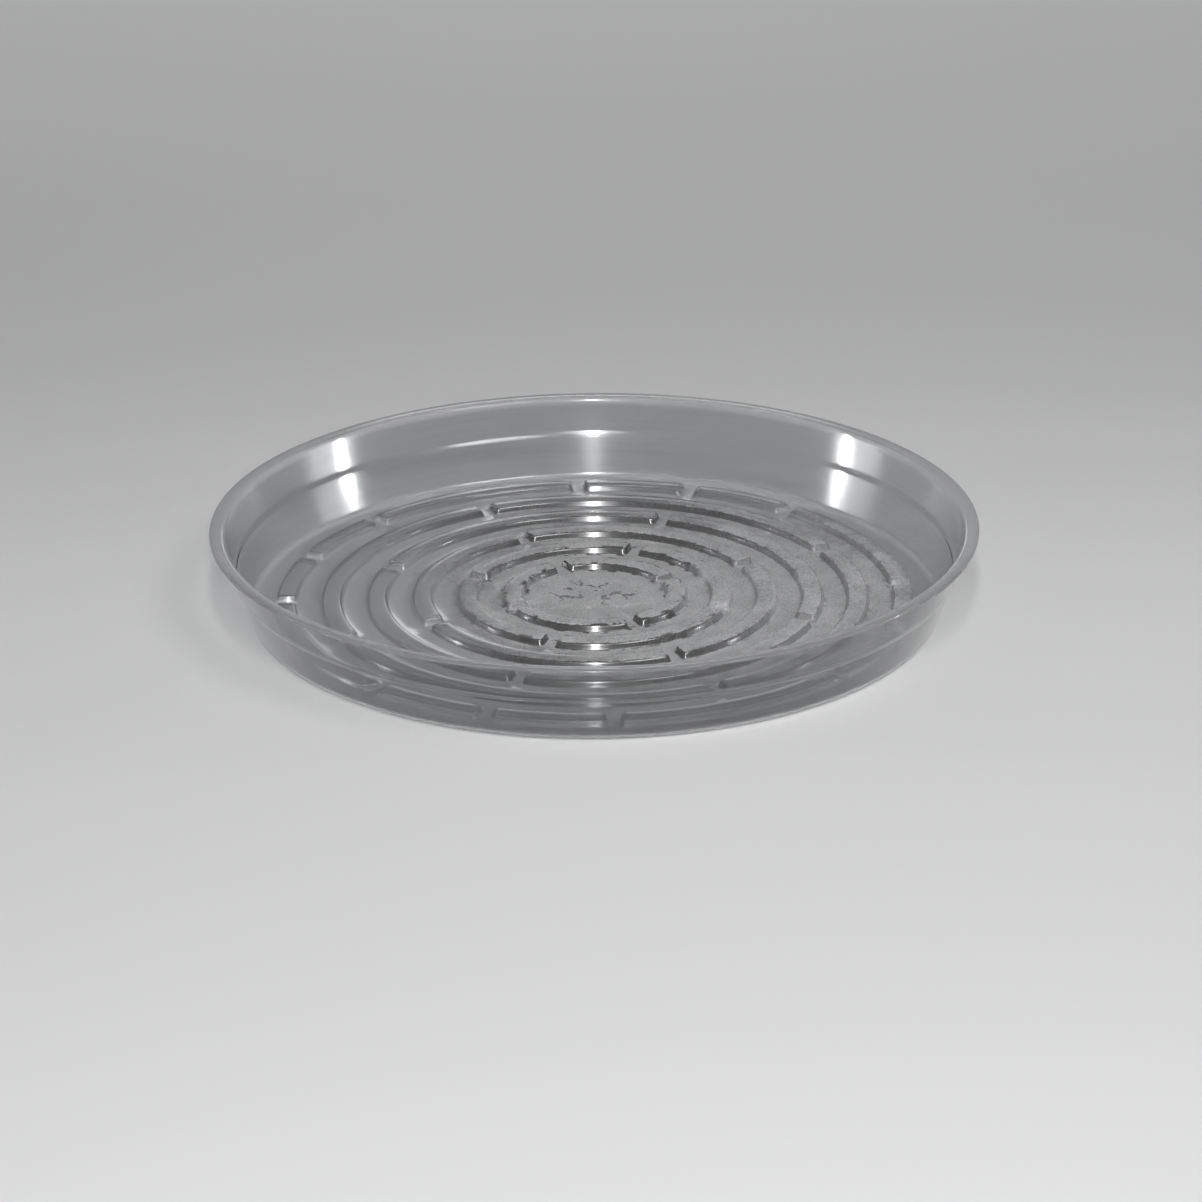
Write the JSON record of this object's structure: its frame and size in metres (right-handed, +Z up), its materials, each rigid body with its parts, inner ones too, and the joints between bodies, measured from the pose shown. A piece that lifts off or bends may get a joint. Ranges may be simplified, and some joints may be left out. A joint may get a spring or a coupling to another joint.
{
  "type": "plant saucer",
  "caption": "Round clear plastic plant saucer with a flat out-turned lip, a step in its wall and broken rings of raised ribs on its floor, to stand a pot on and catch its water.",
  "frame": {"origin": "centre of the underside, on the plane that the saucer stands on", "axes": "+Z up along the saucer's axis, +X through a gap of the second ring of ribs from the outside"},
  "size_m": [0.254, 0.254, 0.0283],
  "materials": {
    "clear_sheet": "clear and glossy with a faint grey tone, fine scuffs and a dull bloom on the floor"
  },
  "bodies": {
    "root": {"saucer": "clear_sheet"}
  },
  "joints": []
}
